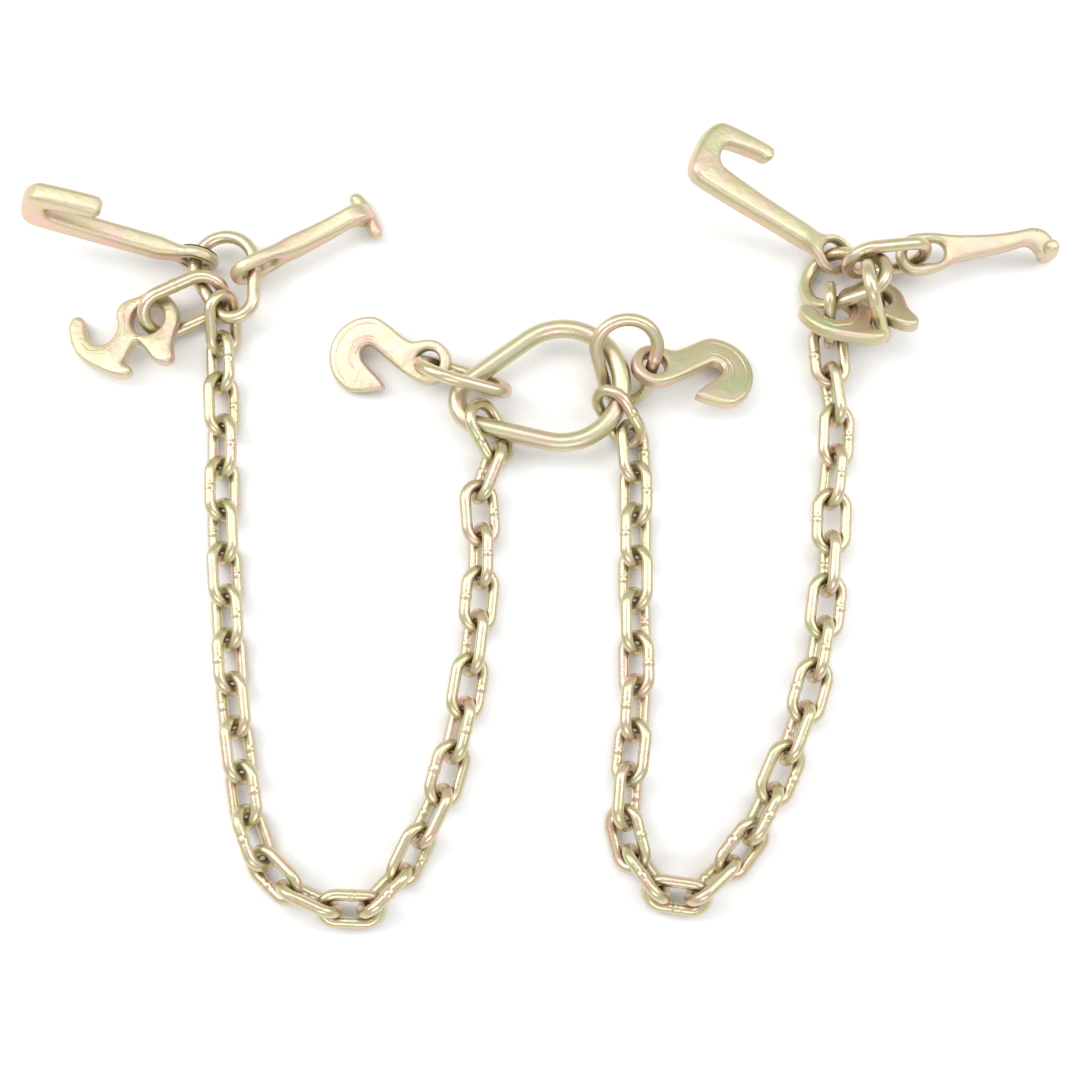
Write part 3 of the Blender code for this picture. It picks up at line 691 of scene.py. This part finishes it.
def frame_offset(c, rot):
    """Shift from the tables to the CAD frame, from the pear link's CAD box."""
    line = egg_line(PEAR_LEN, PEAR_WIDE, PEAR_NARROW, PEAR_WIRE, 9)
    lo = Vector((1e9, 1e9, 1e9))
    n = len(line)
    for i in range(n):
        p = Vector((line[i][0], line[i][1], 0.0))
        a = Vector((line[i - 1][0], line[i - 1][1], 0.0))
        b = Vector((line[(i + 1) % n][0], line[(i + 1) % n][1], 0.0))
        t = ((p - a).normalized() + (b - p).normalized()).normalized()
        out = Vector((t.y, -t.x, 0.0))
        for k in range(10):
            w = 2 * math.pi * (k + 0.5) / 10
            side = out * math.cos(w) + Vector((0, 0, math.sin(w)))
            q = c + rot @ (p + side * PEAR_WIRE / 2)
            lo = Vector(map(min, lo, q))
    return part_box("pear_link")[0] - lo * MM


def body_holding(node):
    for body, nodes in frame["record"]["behaviour"]["bodies"].items():
        if node in nodes:
            return body
    raise KeyError(node)


rows = all_pieces()
offset = frame_offset(*[r[3:] for r in rows if r[1] == "pear_link"][0])
meshes = {kind: smooth_mesh("shape_" + kind, fill) for kind, (fill, _) in SHAPES.items()}
for name, node, kind, c, rot in rows:
    finish = SHAPES[kind][1]
    shape = meshes[kind].copy()
    shape.transform(Matrix.Translation(c * MM + offset) @ rot.to_4x4())
    shape.materials.append(MATS[finish])
    piece = bpy.data.objects.new("look_" + name, shape)
    bpy.context.scene.collection.objects.link(piece)
    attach(piece, body_holding(node))
    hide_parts(node)

# ---- floor, light and camera ---------------------------------------------------------
scene = bpy.context.scene
floor_mesh = bpy.data.meshes.new("floor")
FLOOR_HALF = 4.0        # half the side of the paper, m
FLOOR_DROP = 0.0004     # paper just under the lowest link, m
CAMERA_DISTANCE = 1.45
CAMERA_TILT = 12.0      # degrees off straight down
corners = [(sx * FLOOR_HALF, sy * FLOOR_HALF, 0) for sx, sy in ((-1, -1), (1, -1), (1, 1), (-1, 1))]
floor_mesh.from_pydata(corners, [], [(0, 1, 2, 3)])
floor = bpy.data.objects.new("floor", floor_mesh)
floor.location = (0, 0, -FLOOR_DROP)
scene.collection.objects.link(floor)
paper = bpy.data.materials.new("paper")
paper.use_nodes = True
pn = paper.node_tree.nodes
pb = pn["Principled BSDF"]
fibre = pn.new("ShaderNodeTexNoise")
fibre.inputs["Scale"].default_value = 40.0
shade = pn.new("ShaderNodeValToRGB")
shade.color_ramp.elements[0].color = (0.90, 0.90, 0.895, 1)
shade.color_ramp.elements[1].color = (0.94, 0.94, 0.94, 1)
paper.node_tree.links.new(fibre.outputs["Fac"], shade.inputs[0])
paper.node_tree.links.new(shade.outputs[0], pb.inputs["Base Color"])
pb.inputs["Roughness"].default_value = 0.9
floor_mesh.materials.append(paper)

TARGET = Vector((offset.x, offset.y, 0.0))


def area_light(name, where, size, power, colour):
    data = bpy.data.lights.new(name, "AREA")
    data.shape = "RECTANGLE"
    data.size = size[0]
    data.size_y = size[1]
    data.energy = power
    data.color = colour
    ob = bpy.data.objects.new(name, data)
    ob.location = TARGET + Vector(where)
    ob.rotation_mode = "QUATERNION"
    ob.rotation_quaternion = (TARGET - ob.location).to_track_quat("-Z", "Y")
    scene.collection.objects.link(ob)


area_light("soft_left", (-1.5, 0.5, 1.5), (1.1, 1.5), 20.0, (1.0, 0.99, 0.97))
area_light("soft_right", (1.6, 0.3, 1.6), (0.9, 1.4), 13.0, (0.97, 0.99, 1.0))
area_light("soft_front", (0.1, -1.7, 1.6), (1.6, 0.6), 10.0, (1.0, 1.0, 1.0))
area_light("top", (0.0, 0.9, 2.1), (2.0, 0.8), 11.0, (1.0, 1.0, 1.0))

world = bpy.data.worlds.new("studio")
world.use_nodes = True
wn = world.node_tree.nodes
wn["Background"].inputs["Color"].default_value = (0.98, 0.99, 1.0, 1.0)
wn["Background"].inputs["Strength"].default_value = 0.72
scene.world = world
scene.view_settings.view_transform = "Standard"

camera = bpy.data.cameras.new("camera")
camera.sensor_width = 36.0
camera.lens = 68.7
camera.clip_start = 0.05
camera.clip_end = 20.0
eye = bpy.data.objects.new("camera", camera)
tilt = math.radians(CAMERA_TILT)
back = Vector((0.0, -math.sin(tilt), math.cos(tilt)))
eye.location = TARGET + Vector((0.0, 0.010, 0.0)) + back * CAMERA_DISTANCE
eye.rotation_euler = (tilt, 0.0, 0.0)
scene.collection.objects.link(eye)
scene.camera = eye
